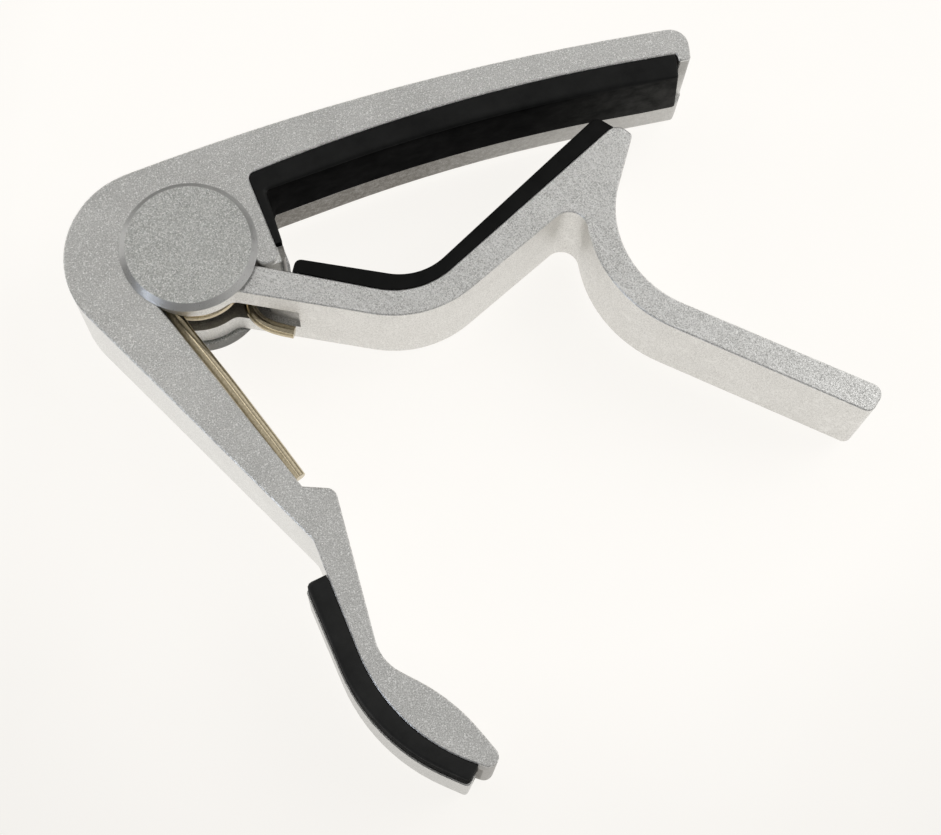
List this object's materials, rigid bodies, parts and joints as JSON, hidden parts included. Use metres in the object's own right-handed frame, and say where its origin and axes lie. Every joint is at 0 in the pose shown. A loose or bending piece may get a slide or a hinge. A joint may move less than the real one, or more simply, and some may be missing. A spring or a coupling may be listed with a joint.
{
  "type": "guitar capo",
  "caption": "Sprung trigger capo: L-shaped alloy frame with a padded string bar and a padded handle, and a forked trigger lever with a padded V jaw, closed by a torsion spring",
  "frame": {"origin": "on the lever's pivot axis, at the outer flat of the rear cap, which is the plane the capo rests on", "axes": "+Z is the pivot axis and points up from the rest plane; +X runs along the chord of the string bar, away from the pivot; +Y points from the trigger lever to the string bar"},
  "size_m": [0.087, 0.0824, 0.0157],
  "materials": {
    "alloy": "fine-grained matt metallic grey",
    "cap_alloy": "coarser sparkling metallic grey",
    "rubber": "satin black",
    "spring_steel": "bronze-grey drawn wire",
    "pin_steel": "ground",
    "nylon": "matt black"
  },
  "bodies": {
    "frame_body": {"frame": "alloy", "string_pad": "rubber", "grip_pad": "rubber", "pivot_pin": "pin_steel", "front_cap": "cap_alloy", "rear_cap": "cap_alloy", "front_washer": "nylon", "rear_washer": "nylon", "spring_sleeve": "nylon", "torsion_spring": "spring_steel"},
    "lever_body": {"trigger_lever": "alloy", "neck_pad": "rubber"}
  },
  "joints": [
    {"name": "lever_pivot", "type": "hinge", "parent": "frame_body", "child": "lever_body", "pos_m": [0, 0, 0.00785], "axis": [0, 0, 1], "range_deg": [-42, 0], "stiffness_Nm_per_rad": 0.85, "springref_deg": 34.38, "deforming": ["torsion_spring"]}
  ]
}
